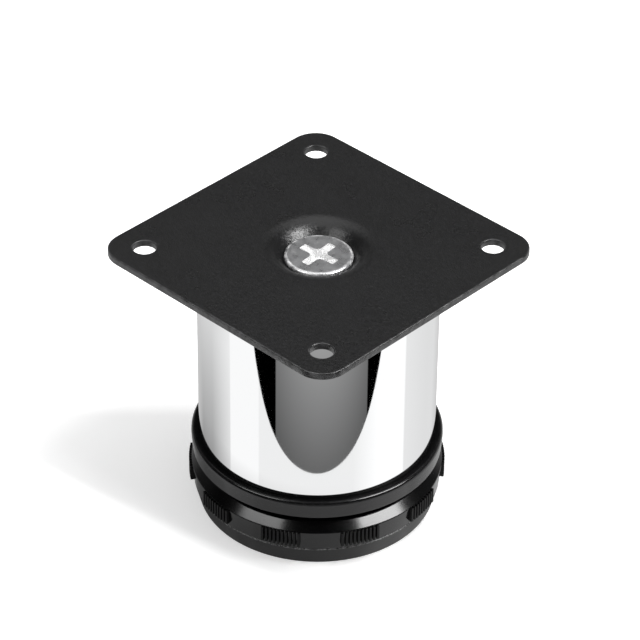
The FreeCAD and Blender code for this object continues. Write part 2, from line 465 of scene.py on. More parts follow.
def new_tree(name, kind, inputs, output):
    """A node tree whose inputs are given by name and default, with one output.

    It gives the tree, its inputs as fields by name and the socket of its output.
    """
    forms = {int: "NodeSocketInt", float: "NodeSocketFloat", type(None): "NodeSocketMaterial"}
    tree = bpy.data.node_groups.new(name, kind)
    for socket, default in inputs.items():
        item = tree.interface.new_socket(socket, in_out="INPUT", socket_type=forms[type(default)])
        if default is not None:
            item.default_value = default
    form = "NodeSocketGeometry" if kind == "GeometryNodeTree" else "NodeSocketFloat"
    tree.interface.new_socket(output, in_out="OUTPUT", socket_type=form)
    source = tree.nodes.new("NodeGroupInput")
    sink = tree.nodes.new("NodeGroupOutput")
    given = {socket.name: Field(tree, socket) for socket in source.outputs if socket.name}
    return tree, given, sink.inputs[0]


def grown(name, tree, values):
    """The plain mesh that a geometry tree gives for the named values."""
    holder = bpy.data.objects.new(name, bpy.data.meshes.new(name))
    bpy.context.scene.collection.objects.link(holder)
    modifier = holder.modifiers.new(name, "NODES")
    modifier.node_group = tree
    for item in tree.interface.items_tree:
        if item.item_type == "SOCKET" and item.in_out == "INPUT" and item.name in values:
            modifier[item.identifier] = values[item.name]
    depsgraph = bpy.context.evaluated_depsgraph_get()
    data = bpy.data.meshes.new_from_object(holder.evaluated_get(depsgraph))
    holder.modifiers.clear()
    bpy.data.objects.remove(holder)
    mesh = new_mesh()
    mesh.from_mesh(data)
    bmesh.ops.remove_doubles(mesh, verts=mesh.verts, dist=touching)
    return finished_mesh(name, mesh)


def add_number(tree, value):
    """A field that is the same number everywhere, for arithmetic that starts with a plain number."""
    node = tree.nodes.new("ShaderNodeValue")
    node.outputs[0].default_value = value
    return Field(tree, node.outputs[0])


def vector(tree, x=0.0, y=0.0, z=0.0):
    return add_node(tree, "ShaderNodeCombineXYZ", {0: x, 1: y, 2: z}).outputs[0]


def joined(tree, first, second):
    """Two geometries as one."""
    join = add_node(tree, "GeometryNodeJoinGeometry", {0: first})
    tree.links.new(second, join.inputs[0])
    return join.outputs[0]


def object_place(tree):
    return add_node(tree, "ShaderNodeTexCoord").outputs["Object"]


def add_noise(tree, place, scale, detail):
    noise = add_node(tree, "ShaderNodeTexNoise", {"Vector": place, "Scale": scale, "Detail": detail})
    return Field(tree, noise.outputs[0])


def finish_tree(tree, geometry, material, result):
    """Ends a geometry tree with its instances made real and its material set."""
    real = add_node(tree, "GeometryNodeRealizeInstances", {0: geometry})
    painted = add_node(tree, "GeometryNodeSetMaterial", {"Geometry": real.outputs[0], "Material": material})
    tree.links.new(painted.outputs[0], result)


def grip_tree():
    """Raised lugs round a ring, each cut by a row of upright grooves.

    One closed line runs round all the lugs. Its points are placed by their number, four to a groove
    and four to a lug's ends. The line is filled against an inner circle and drawn up into a solid.
    """
    tree, given, result = new_tree("grip_lugs", "GeometryNodeTree", {
        "Lugs": 10, "Middle Turn": 0.0, "Radius": 0.0272, "Root": 0.0256, "Inner": 0.0245, "Low": 0.006,
        "High": 0.0093, "Turn": 0.38, "Grooves": 9, "Step": 0.03, "Width": 0.0004, "Depth": 0.0007,
        "Edge": 0.0001, "Material": None}, "Geometry")
    lugs, grooves, radius, low, edge = (given[name] for name in ("Lugs", "Grooves", "Radius", "Low", "Edge"))
    # A lug's points: its root, its corner, the four of each groove, its other corner and its other root
    per_lug = grooves * 4 + 4
    number = Field(tree, add_node(tree, "GeometryNodeInputIndex").outputs[0])
    lug = (number / per_lug).maths("FLOOR")
    place = number - lug * per_lug
    groove = ((place - 2) / 4).maths("FLOOR")
    corner = place - 2 - groove * 4
    far_side = corner.over(1.5)
    sunk = corner.over(0.5) - corner.over(2.5)
    groove_radius = radius - sunk * given["Depth"]
    groove_middle = (groove - (grooves - 1) / 2) * given["Step"]
    groove_turn = groove_middle + (far_side - 0.5) * given["Width"] / groove_radius
    past_start = place.over(1.5)
    past_grooves = place.over(per_lug - 2.5)
    in_groove = past_start - past_grooves
    at_root = place.over(0.5).choose(add_number(tree, 1.0), place.over(per_lug - 1.5))
    end_radius = at_root.choose(radius, given["Root"])
    end_turn = (past_grooves - 0.5) * given["Turn"]
    outline_radius = in_groove.choose(end_radius, groove_radius)
    turn = in_groove.choose(end_turn, groove_turn) + lug * math.tau / lugs + given["Middle Turn"]
    where = vector(tree, turn.maths("COSINE") * outline_radius, turn.maths("SINE") * outline_radius)
    line = add_node(tree, "GeometryNodeCurvePrimitiveCircle", {"Resolution": lugs * per_lug})
    outline = add_node(tree, "GeometryNodeSetPosition", {"Geometry": line.outputs[0], "Position": where})
    inner = add_node(tree, "GeometryNodeCurvePrimitiveCircle", {"Resolution": 120, "Radius": given["Inner"]})
    both = joined(tree, outline.outputs[0], inner.outputs[0])
    flat = add_node(tree, "GeometryNodeFillCurve", {0: both}, mode="TRIANGLES")
    # The flat shape is drawn up in three lifts: out over the lower bevel, straight up, in over the upper one
    shrink = (radius - edge) / radius
    base = add_node(tree, "GeometryNodeTransform", {
        "Geometry": flat.outputs[0], "Translation": vector(tree, z=low),
        "Scale": vector(tree, shrink, shrink, 1.0)})
    shape, top = base.outputs[0], None
    lifts = ((edge, add_number(tree, 1.0) / shrink), (given["High"] - low - edge * 2, None), (edge, shrink))
    for lift, scale in lifts:
        inputs = {"Mesh": shape, "Offset": vector(tree, z=1.0), "Offset Scale": lift, "Individual": False}
        if top:
            inputs["Selection"] = top
        drawn = add_node(tree, "GeometryNodeExtrudeMesh", inputs, mode="FACES")
        shape, top = drawn.outputs["Mesh"], drawn.outputs["Top"]
        if scale:
            spot = add_node(tree, "GeometryNodeInputPosition").outputs[0]
            scaled = add_node(tree, "ShaderNodeVectorMath", {0: spot, 1: vector(tree, scale, scale, 1.0)},
                              operation="MULTIPLY")
            shape = add_node(tree, "GeometryNodeSetPosition", {
                "Geometry": shape, "Selection": top, "Position": scaled.outputs[0]}).outputs[0]
    under = add_node(tree, "GeometryNodeFlipFaces", {0: base.outputs[0]})
    closed = joined(tree, shape, under.outputs[0])
    merged = add_node(tree, "GeometryNodeMergeByDistance", {"Geometry": closed, "Distance": touching})
    finish_tree(tree, merged.outputs[0], given["Material"], result)
    return tree


def thread_tree():
    """A thread ridge that winds up a root cylinder, fading out at both ends."""
    tree, given, result = new_tree("thread_ridge", "GeometryNodeTree", {
        "Root": 0.0166, "Crest": 0.0179, "Pitch": 0.004, "Low": 0.014, "High": 0.031, "Material": None},
        "Geometry")
    pitch, low = given["Pitch"], given["Low"]
    height = given["High"] - low
    # The ridge starts a little below the root, so that it is joined to the cylinder all along
    buried = given["Root"] - pitch * 0.12
    path = add_node(tree, "GeometryNodeCurveSpiral", {
        "Resolution": 72, "Rotations": height / pitch, "Start Radius": buried, "End Radius": buried,
        "Height": height})
    raised = add_node(tree, "GeometryNodeTransform", {
        "Geometry": path.outputs[0], "Translation": vector(tree, z=low)})
    upright = add_node(tree, "GeometryNodeSetCurveNormal", {"Curve": raised.outputs[0]}, mode="Z_UP")
    # The ridge is full from a third of a turn in, and its ends keep a little height
    along = Field(tree, add_node(tree, "GeometryNodeSplineParameter").outputs["Factor"])
    thirds_in = along.maths("MINIMUM", add_number(tree, 1.0) - along) * height / pitch * 3.0
    fade = thirds_in.kept_within(0.12, 1.0)
    faded = add_node(tree, "GeometryNodeSetCurveRadius", {"Curve": upright.outputs[0], "Radius": fade})
    tall = given["Crest"] - buried
    profile = add_node(tree, "GeometryNodeCurvePrimitiveQuadrilateral", {
        "Height": tall, "Bottom Width": pitch * 0.72, "Top Width": pitch * 0.26, "Offset": 0.0},
        mode="TRAPEZOID")
    stood = add_node(tree, "GeometryNodeTransform", {
        "Geometry": profile.outputs[0], "Translation": vector(tree, x=tall * -0.5),
        "Rotation": (0.0, 0.0, math.radians(90))})
    ridge = add_node(tree, "GeometryNodeCurveToMesh", {
        "Curve": faded.outputs[0], "Profile Curve": stood.outputs[0], "Scale": fade, "Fill Caps": True})
    finish_tree(tree, ridge.outputs[0], given["Material"], result)
    return tree


# Finishes

def grain_group():
    """Fine uneven height of a coat or a moulded skin, at two scales."""
    tree, given, result = new_tree("surface_grain", "ShaderNodeTree", {
        "Scale": 1500.0, "Fine Share": 0.4}, "Height")
    place = object_place(tree)
    coarse = add_noise(tree, place, given["Scale"], 2.0)
    fine = add_noise(tree, place, given["Scale"] * 3.3, 3.0)
    feed(tree, given["Fine Share"].choose(coarse, fine), result)
    return tree


def wear_and_highlight_group():
    """Paler edges of a piece, where handling has rubbed them and where a highlight is painted along them:
    its edge attribute, broken up by noise.
    """
    tree, given, result = new_tree("edge_wear_and_highlight", "ShaderNodeTree", {"Scale": 400.0, "Amount": 0.5}, "Mask")
    edge = add_node(tree, "ShaderNodeAttribute", attribute_name="edge", attribute_type="GEOMETRY")
    broken = add_noise(tree, object_place(tree), given["Scale"], 4.0).stretched(start=0.35, gain=3.0)
    feed(tree, Field(tree, edge.outputs["Fac"]) * broken * given["Amount"], result)
    return tree


def smudge_group():
    """A value that drifts slowly over a surface between two levels."""
    tree, given, result = new_tree("smudge", "ShaderNodeTree", {
        "Scale": 60.0, "Low": 0.3, "High": 0.5}, "Value")
    drift = add_noise(tree, object_place(tree), given["Scale"], 3.0).stretched(start=0.3, gain=2.5)
    feed(tree, drift.choose(given["Low"], given["High"]), result)
    return tree


def shared_group(name, build):
    return bpy.data.node_groups.get(name) or build()


def new_material(name, metallic=0.0, specular=0.5):
    material = bpy.data.materials.new(name)
    material.use_nodes = True
    shader = material.node_tree.nodes["Principled BSDF"]
    shader.inputs["Metallic"].default_value = metallic
    shader.inputs["Specular IOR Level"].default_value = specular
    return material, material.node_tree, shader


def add_group(tree, name, build, inputs):
    """Places a shared node group with its own values, and gives what it puts out."""
    return add_node(tree, "ShaderNodeGroup", inputs, node_tree=shared_group(name, build)).outputs[0]


def add_grain(tree, shader, scale, fine_share, depth):
    """Grain as bump of the given depth. Gives its height too, for colours that follow it."""
    height = add_group(tree, "surface_grain", grain_group, {"Scale": scale, "Fine Share": fine_share})
    bump = add_node(tree, "ShaderNodeBump", {"Height": height, "Distance": depth, "Strength": 1.0})
    tree.links.new(bump.outputs[0], shader.inputs["Normal"])
    return Field(tree, height)


def add_smudge(tree, slot, scale, low, high):
    value = add_group(tree, "smudge", smudge_group, {"Scale": scale, "Low": low, "High": high})
    tree.links.new(value, slot)


def add_wear_and_highlight(tree, scale, amount):
    return Field(tree, add_group(tree, "edge_wear_and_highlight", wear_and_highlight_group, {"Scale": scale, "Amount": amount}))


def mix_colours(tree, share, first, second):
    """A colour between two others, each of them a socket or red, green and blue."""
    mix = add_node(tree, "ShaderNodeMix", {"Factor": share}, data_type="RGBA")
    for tint, slot in zip((first, second), mix.inputs[6:8]):
        feed(tree, tint if isinstance(tint, bpy.types.NodeSocket) else (*tint, 1.0), slot)
    return mix.outputs[2]


def shaded(tint, share):
    return [channel * share for channel in tint]


def powder_coat(finishes):
    """Black powder coat: fine orange peel, speckle, and edges that are rubbed a little thin and painted
    paler as a highlight.
    """
    material, tree, shader = new_material("powder_coat_black", specular=0.75)
    height = add_grain(tree, shader, scale=1300.0, fine_share=0.5, depth=0.12 * mm)
    speckle = height.stretched(start=0.425, gain=4.0)
    body = mix_colours(tree, speckle, shaded(finishes.coat, 0.2), shaded(finishes.coat, 3.5))
    # The paler edges are wear and a painted highlight along the plate's edges
    worn = mix_colours(tree, add_wear_and_highlight(tree, scale=500.0, amount=0.75), body, finishes.coat_rub_and_highlight)
    tree.links.new(worn, shader.inputs["Base Color"])
    add_smudge(tree, shader.inputs["Roughness"], scale=90.0, low=0.26, high=0.32)
    return material


def zinc_plating(finishes):
    """Bright zinc: metal with fine mottling, uneven gloss and edges rubbed bright, which also paints a
    highlight along the head's rim.
    """
    material, tree, shader = new_material("zinc_plating", metallic=1.0)
    height = add_grain(tree, shader, scale=1500.0, fine_share=0.5, depth=0.010 * mm)
    mottle = height.stretched(start=0.5375, gain=8.0)
    body = mix_colours(tree, mottle, shaded(finishes.zinc, 0.86), finishes.zinc_bright_and_highlight)
    # The edges rubbed bright are wear and a painted highlight along the head's rim
    worn = add_wear_and_highlight(tree, scale=900.0, amount=1.2)
    tree.links.new(mix_colours(tree, worn, body, finishes.zinc_bright_and_highlight), shader.inputs["Base Color"])
    feed(tree, worn.choose(1.0, 0.25), shader.inputs["Metallic"])
    add_smudge(tree, shader.inputs["Roughness"], scale=700.0, low=0.26, high=0.38)
    return material


def recess_painted_highlight_finish(finishes):
    """The cross recess: zinc punched bright, painted pale and without mirror as a highlight for the light
    its facets catch. Its close walls light each other.
    """
    material, tree, shader = new_material("recess_painted_highlight")
    height = add_grain(tree, shader, scale=1900.0, fine_share=0.5, depth=0.015 * mm)
    tone = mix_colours(tree, height, shaded(finishes.zinc_bright_and_highlight, 0.92), finishes.zinc_bright_and_highlight)
    tree.links.new(tone, shader.inputs["Base Color"])
    add_smudge(tree, shader.inputs["Roughness"], scale=900.0, low=0.42, high=0.60)
    return material


def chrome_plating(finishes):
    """Mirror chrome over drawn steel: a trace of haze and of long waves."""
    material, tree, shader = new_material("chrome_plating", metallic=1.0)
    height = add_grain(tree, shader, scale=70.0, fine_share=0.15, depth=0.004 * mm)
    tone = mix_colours(tree, height, shaded(finishes.chrome, 0.985), finishes.chrome)
    tree.links.new(tone, shader.inputs["Base Color"])
    add_smudge(tree, shader.inputs["Roughness"], scale=120.0, low=0.025, high=0.045)
    return material


def moulded_plastic(name, tint, roughness, grain, specular=0.5, rub=(600.0, 0.35), edge=None):
    """Moulded black plastic: a fine skin texture, uneven gloss and edges that are a little paler from wear.
    A given edge colour paints a highlight along the edges instead.

    Roughness is its lowest and highest value, grain its scale and depth, rub its scale and amount.
    """
    material, tree, shader = new_material(name, specular=specular)
    scale, depth = grain
    height = add_grain(tree, shader, scale, fine_share=0.35, depth=depth)
    body = mix_colours(tree, height, shaded(tint, 0.7), shaded(tint, 1.35))
    # Paler edges from wear, or the given edge colour, which is a painted highlight on the glide's seam
    pale = edge or [channel + 0.012 for channel in shaded(tint, 3.0)]
    tree.links.new(mix_colours(tree, add_wear_and_highlight(tree, *rub), body, pale), shader.inputs["Base Color"])
    low, high = roughness
    add_smudge(tree, shader.inputs["Roughness"], scale=140.0, low=low, high=high)
    return material


def shared_material(name, build):
    return bpy.data.materials.get(name) or build()


def foot_plastic(finishes):
    return shared_material("foot_plastic_gloss", lambda: moulded_plastic(
        "foot_plastic_gloss", finishes.foot, roughness=(0.14, 0.20), grain=(420.0, 0.010 * mm),
        specular=0.46))


def dull_painted_shade_plastic(finishes, name, specular):
    """Dull, dark faces on the tube's ledge and the walls of the grip's grooves: left unpolished, and painted
    as the shade that falls where the ledge meets the tube and deep in the grooves.
    """
    return shared_material(name, lambda: moulded_plastic(
        name, finishes.foot, roughness=(0.50, 0.65), grain=(900.0, 0.010 * mm), specular=specular))


# Pieces

def edge_roll(sizes, steps=5):
    """(inset, drop, edge) rows over a sheared edge, from the upper face round to the lower one."""
    turns = [math.radians(90 * step / steps) for step in range(steps + 1)]
    over = [(sizes.top_roll * (1 - math.sin(turn)), sizes.top_roll * (1 - math.cos(turn))) for turn in turns]
    under = [(sizes.low_roll * (1 - math.cos(turn)), sizes.sheet - sizes.low_roll * (1 - math.sin(turn)))
             for turn in turns]
    first = (sizes.top_roll * 1.5, 0.0, 0.0)
    last = (sizes.low_roll * 1.7, sizes.sheet, 0.0)
    return [first] + [(*pair, 1.0) for pair in over + under] + [last]


def quarters(half):
    """The corners of a square about the axis, going round from the first quarter."""
    return ((half, half), (-half, half), (-half, -half), (half, -half))


def rounded_square(side, corner, height, steps=12):
    places = []
    for quarter, (x, y) in enumerate(quarters(side / 2 - corner)):
        for step in range(steps + 1):
            turn = math.radians(90 * (quarter + step / steps))
            places.append((x + corner * math.cos(turn), y + corner * math.sin(turn), height))
    return places


def dimple_section(sizes):
    """Half section of the pressed dimple, over the rim, down the 45 degree seat and back under."""
    steps = 14
    lip_roll = 0.2 * mm
    centre = (sizes.dimple_rim, sizes.top - sizes.dimple_bend)
    over = arc(centre, sizes.dimple_bend, 90, 135, steps, edge=0.0)
    under = arc(centre, sizes.dimple_bend - sizes.sheet, 135, 90, steps, edge=0.0)
    low_radius = sizes.dimple_hole + sizes.sheet * math.sqrt(0.5)
    lip_top = (sizes.dimple_hole, over[-1][1] - (over[-1][0] - sizes.dimple_hole), lip_roll)
    lip_low = (low_radius, under[0][1] - (under[0][0] - low_radius), lip_roll)
    lip = rolled([over[-1], lip_top, lip_low, under[0]])[1:-1]
    rim = sizes.dimple_rim + 1.2 * mm
    return [(rim, sizes.top, 0.0)] + over + lip + under + [(rim, sizes.top - sizes.sheet, 0.0)]


def build_plate(settings):
    sizes = settings.plate
    mesh = new_mesh()
    profile = edge_roll(sizes)
    outer = []
    for inset, drop, edge in profile:
        square = rounded_square(sizes.side - 2 * inset, sizes.corner - inset, sizes.top - drop)
        outer.append(add_loop(mesh, square, edge))
    skin_all(mesh, outer)
    holes = []
    for middle in quarters(sizes.hole_pitch / 2):
        hole = [add_loop(mesh, circle(sizes.hole_radius + inset, sizes.top - drop, 64, middle), edge)
                for inset, drop, edge in profile]
        skin_all(mesh, hole)
        holes.append(hole)
    dimple = turned_loops(mesh, dimple_section(sizes), settings.sides // 2)
    skin_all(mesh, dimple)
    for end in (0, -1):
        fill(mesh, [outer[end], dimple[end]] + [hole[end] for hole in holes])
    material = shared_material("powder_coat_black", lambda: powder_coat(settings.finishes))
    add_piece("plate", finished_mesh("plate", mesh), "leg", material, "mounting_plate")


def cross_outline(span, arm, height, turn, steps=4):
    """The outline of a four-armed recess at one height, turned about Z, with rounded tips and corners."""
    reach, half = span / 2, arm / 2
    inner_round, tip_round = arm * 0.55, arm * 0.15
    places = []
    for quarter in range(4):
        spin = Matrix.Rotation(turn + quarter * math.pi / 2, 3, "Z")
        bends = (((reach - tip_round, -half + tip_round), tip_round, -90, 0),
                 ((reach - tip_round, half - tip_round), tip_round, 0, 90),
                 ((half + inner_round, half + inner_round), inner_round, 270, 180))
        for centre, radius, first, last in bends:
            for point in arc(centre, radius, first, last, steps):
                places.append(spin @ Vector((*point[:2], height)))
    return places


# How the cross recess narrows: at each level its depth, reach and arm's width, as shares of the whole
RECESS_LEVELS = ((0.0, 1.0, 1.0), (0.16, 0.96, 0.92), (0.20, 0.72, 0.90), (0.32, 0.54, 0.88),
                 (0.60, 0.42, 0.86), (1.0, 0.38, 0.82))


def build_screw(settings):
    sizes, finishes = settings.screw, settings.finishes
    land_low = sizes.head_top - sizes.head_land
    cone_low = land_low - (sizes.head_radius - sizes.root)
    tip_bevel = 0.7 * mm
    section = rolled([(0.0, sizes.tip, 0.0), (sizes.root - tip_bevel, sizes.tip, 0.1 * mm),
                      (sizes.root, sizes.tip + tip_bevel, 0.1 * mm), (sizes.root, cone_low, 0.3 * mm),
                      (sizes.head_radius, land_low, 0.15 * mm),
                      (sizes.head_radius, sizes.head_top, 0.55 * mm), (0.0, sizes.head_top, 0.0)])[:-1]
    mesh = new_mesh()
    body = turned_loops(mesh, section, settings.sides // 2)
    skin_all(mesh, body)
    recess = []
    for depth, reach, girth in RECESS_LEVELS:
        recess.append(add_loop(mesh, cross_outline(
            sizes.recess_span * reach, sizes.recess_arm * girth, sizes.head_top - sizes.recess_depth * depth,
            sizes.recess_turn)))
    skin_all(mesh, recess)
    fill(mesh, [body[-1], recess[0]])
    mesh.faces.new(recess[-1])
    zinc = shared_material("zinc_plating", lambda: zinc_plating(finishes))
    piece = add_piece("screw", finished_mesh("screw", mesh), "leg", zinc, "plate_screw")
    # The recess is painted pale: bare punched metal and a painted highlight
    lowest, highest = sizes.head_top - 1.1 * sizes.recess_depth, sizes.head_top - 0.02 * mm
    paint(piece, shared_material("recess_painted_highlight", lambda: recess_painted_highlight_finish(finishes)),
          lambda middle, normal: middle.xy.length < sizes.recess_span / 2 and lowest < middle.z < highest)
    thread = grown("screw_thread", shared_group("thread_ridge", thread_tree), {
        "Root": sizes.root, "Crest": sizes.crest, "Pitch": sizes.pitch, "Low": sizes.tip + 1.0 * mm,
        "High": cone_low - 1.5 * mm, "Material": zinc})
    add_piece("screw_thread", thread, "leg", zinc, "plate_screw")


def build_tube(settings):
    sizes = settings.tube
    inner = sizes.radius - sizes.wall
    section = rolled([(inner, sizes.low, sizes.edge), (sizes.radius, sizes.low, sizes.edge),
                      (sizes.radius, sizes.high, sizes.edge), (inner, sizes.high, sizes.edge)])
    chrome = shared_material("chrome_plating", lambda: chrome_plating(settings.finishes))
    data = finished_mesh("tube", turned(section, settings.sides * 2))
    add_piece("tube", data, "leg", chrome, "leg_tube")


def build_socket(settings):
    sizes, tube = settings.socket, settings.tube
    barrel = sizes.bore + sizes.wall
    mouth_bevel, small = 0.8 * mm, 0.15 * mm
    section = rolled([(sizes.bore + mouth_bevel, sizes.low, small),
                      (sizes.radius_low, sizes.low, sizes.low_lip),
                      (sizes.radius_top, sizes.ledge, sizes.lip), (barrel, sizes.ledge, small),
                      (barrel, sizes.high, small), (sizes.bore, sizes.high, small),
                      (sizes.bore, sizes.low + mouth_bevel, small)])
    mesh = turned(section, settings.sides)
    # A rib starts within the barrel and the ledge, and ends short of the tube and of the barrel's top
    rib_low = (barrel - 0.5 * mm, -sizes.rib / 2, sizes.ledge - 0.4 * mm)
    rib_high = (tube.radius - tube.wall - 0.1 * mm, sizes.rib / 2, sizes.high - 5.0 * mm)
    for rib in range(sizes.ribs):
        add_block(mesh, rib_low, rib_high, math.tau * (rib + 0.5) / sizes.ribs)
    gloss = shared_material("collar_plastic", lambda: moulded_plastic(
        "collar_plastic", settings.finishes.collar, roughness=(0.15, 0.21), grain=(700.0, 0.006 * mm)))
    piece = add_piece("socket", finished_mesh("socket", mesh), "leg", gloss, "foot_socket")
    # The flat ledge is painted as shade: dull and darker than the collar where it meets the tube
    ledge_high = sizes.ledge + 0.1 * mm
    paint(piece, dull_painted_shade_plastic(settings.finishes, "ledge_painted_shade", 0.05), lambda middle, normal: (
        normal.z > 0.99 and middle.z < ledge_high and middle.xy.length > barrel))


def adjuster_section(sizes):
    """Half section of the adjuster: skirt, ring, shoulder, neck, spigot and its hollow."""
    small, bevel = 0.15 * mm, 0.15 * mm
    edge_radius = sizes.ring_top_radius - bevel
    bend_radius = edge_radius - sizes.slope_run * math.sin(sizes.slope)
    bend_height = sizes.ring_top + sizes.slope_run * math.cos(sizes.slope)
    bend = (sizes.shoulder - bend_height) / (1 - math.sin(sizes.slope))
    centre = (bend_radius - bend * math.cos(sizes.slope), sizes.shoulder - bend)
    skirt_inner = sizes.ring_radius - sizes.skirt_wall
    land_low = sizes.high - 4.0 * mm
    land_bevel = 1.0 * mm
    spigot_inner = sizes.root - 2.8 * mm
    spigot_roof = sizes.high - 2.6 * mm
    hub = sizes.pin_bore + 2.94 * mm
    hub_low = sizes.low + 0.5 * mm
    web = sizes.shoulder - 2.5 * mm
    outside = rolled([(skirt_inner, sizes.low, small), (sizes.ring_radius, sizes.low, 0.22 * mm),
                      (sizes.ring_top_radius, sizes.ring_top - bevel, 0.3 * mm),
                      (bend_radius, bend_height, 0.0)])[:-1]
    shoulder = arc(centre, bend, math.degrees(sizes.slope), 90, 14, edge=0.0)
    inside = rolled([(sizes.neck_radius + 0.8 * mm, sizes.shoulder, 0.0),
                     (sizes.neck_radius, sizes.shoulder, small), (sizes.neck_radius, sizes.neck_top, small),
                     (sizes.root, sizes.neck_top, small), (sizes.root, land_low - 1.4 * mm, small),
                     (sizes.land, land_low, small), (sizes.land, sizes.high - land_bevel, small),
                     (sizes.land - land_bevel, sizes.high, small), (0.0, sizes.high, 0.0),
                     (0.0, spigot_roof, 0.0), (spigot_inner, spigot_roof, 0.5 * mm),
                     (spigot_inner, sizes.shoulder, small), (sizes.pin_bore, sizes.shoulder, small),
                     (sizes.pin_bore, hub_low, small), (hub, hub_low, small), (hub, web, small),
                     (skirt_inner, web, small), (skirt_inner, sizes.low, 0.0)])[1:-1]
    return outside + shoulder + inside


def build_adjuster(settings):
    sizes, grip = settings.adjuster, settings.grip
    plastic = foot_plastic(settings.finishes)
    body = finished_mesh("adjuster_body", turned(adjuster_section(sizes), settings.sides))
    add_piece("adjuster_body", body, "ring", plastic, "adjuster")
    lugs = grown("adjuster_grip", shared_group("grip_lugs", grip_tree), {
        "Lugs": grip.lugs, "Middle Turn": grip.middle_turn, "Radius": grip.radius, "Root": grip.root,
        "Inner": grip.root - 1.0 * mm, "Low": grip.low, "High": grip.high, "Turn": grip.turn,
        "Grooves": grip.grooves, "Step": grip.step, "Width": grip.width, "Depth": grip.depth,
        "Edge": grip.edge, "Material": plastic})
    piece = add_piece("adjuster_grip", lugs, "ring", plastic, "adjuster")
    # The grooves' walls and floors are painted as shade: dull and dark deep in the grooves
    deepest, shallowest = -grip.depth - 0.03 * mm, -0.1 * mm
    paint(piece, dull_painted_shade_plastic(settings.finishes, "groove_painted_shade", 0.26), lambda middle, normal: (
        abs(normal.z) < 0.5 and deepest < middle.xy.length - grip.radius < shallowest))
    thread = grown("adjuster_thread", shared_group("thread_ridge", thread_tree), {
        "Root": sizes.root, "Crest": sizes.crest, "Pitch": sizes.pitch, "Low": sizes.neck_top + 1.6 * mm,
        "High": sizes.high - 6.4 * mm, "Material": plastic})
    add_piece("adjuster_thread", thread, "ring", plastic, "adjuster")


def build_glide(settings):
    sizes, ring = settings.glide, settings.adjuster
    small = 0.15 * mm
    hook = ring.shoulder + 0.1 * mm
    catch = 0.6 * mm
    inner = ring.ring_radius - ring.skirt_wall
    section = rolled([(0.0, sizes.recess, 0.0), (sizes.floor_radius * 0.72, sizes.recess, small),
                      (sizes.floor_radius * 0.74, 0.0, small), (sizes.floor_radius, 0.0, 0.3 * mm),
                      (ring.ring_radius, ring.low - 0.25 * mm, 0.1 * mm),
                      (ring.ring_radius - 0.3 * mm, ring.low, 0.05 * mm),
                      (inner, ring.low, small), (inner, sizes.floor, 0.3 * mm),
                      (sizes.pin, sizes.floor, small), (sizes.pin, hook, small),
                      (sizes.pin + catch, hook, 0.1 * mm), (sizes.pin + catch, hook + catch, 0.1 * mm),
                      (sizes.pin - catch, sizes.pin_top, small), (0.0, sizes.pin_top, 0.0)])
    # Only the edge at the seam is pale, a painted highlight where the glide's chamfer catches light, so the
    # edge value is 1 there and 0 on every other corner
    seam_inner, seam_low = inner + 1.0 * mm, ring.low - 0.31 * mm
    seam = [(radius, height, float(radius > seam_inner and height > seam_low))
            for radius, height, edge in section]
    body = finished_mesh("glide", turned(seam, settings.sides, closed=False))
    cutter = new_mesh()
    for turn in (0.0, math.pi / 2):
        add_block(cutter, (-3 * sizes.pin, -sizes.slit / 2, ring.low + 1.0 * mm),
                  (3 * sizes.pin, sizes.slit / 2, sizes.pin_top + 1.0 * mm), turn)
    data = cut_away(body, finished_mesh("glide_slits", cutter))
    material = shared_material("glide_plastic_matte", lambda: moulded_plastic(
        "glide_plastic_matte", settings.finishes.glide, roughness=(0.34, 0.46), grain=(1300.0, 0.020 * mm),
        specular=0.30, rub=(3000.0, 1.0), edge=list(settings.finishes.seam)))
    add_piece("glide", data, "glide", material, "floor_glide")


def cut_away(body, cutter):
    """Mesh data of the body with the cutter's space taken out, cleaned of slivers."""
    holders = []
    for data in (body, cutter):
        holder = bpy.data.objects.new(data.name, data)
        bpy.context.scene.collection.objects.link(holder)
        holders.append(holder)
    modifier = holders[0].modifiers.new("slits", "BOOLEAN")
    modifier.operation = "DIFFERENCE"
    modifier.solver = "EXACT"
    modifier.use_self = True
    modifier.object = holders[1]
    depsgraph = bpy.context.evaluated_depsgraph_get()
    data = bpy.data.meshes.new_from_object(holders[0].evaluated_get(depsgraph))
    holders[0].modifiers.clear()
    for holder in holders:
        bpy.data.objects.remove(holder)
    mesh = bmesh.new()
    mesh.from_mesh(data)
    bmesh.ops.remove_doubles(mesh, verts=mesh.verts, dist=sliver)
    bmesh.ops.dissolve_degenerate(mesh, edges=mesh.edges, dist=sliver)
    bmesh.ops.triangulate(mesh, faces=mesh.faces, quad_method="BEAUTY", ngon_method="BEAUTY")
    bmesh.ops.dissolve_degenerate(mesh, edges=mesh.edges, dist=sliver)
    return finished_mesh(body.name, mesh)


def dress_hidden(settings):
    """Materials for the pieces inside the tube, which keep their own meshes."""
    finishes = settings.finishes
    plug = shared_material("plug_plastic", lambda: moulded_plastic(
        "plug_plastic", finishes.plug, roughness=(0.42, 0.55), grain=(1300.0, 0.015 * mm)))
    zinc = shared_material("zinc_plating", lambda: zinc_plating(finishes))
    for name, material in (("top_plug", plug), ("plate_nut", zinc)):
        node = frame["nodes"][name]
        node.data.materials.clear()
        node.data.materials.append(material)


# Stage

def towards(azimuth, elevation=0.0):
    """Direction from the leg to a place round it. Azimuth 0 is before it, along -Y."""
    return Vector((math.sin(azimuth) * math.cos(elevation), -math.cos(azimuth) * math.cos(elevation),
                   math.sin(elevation)))


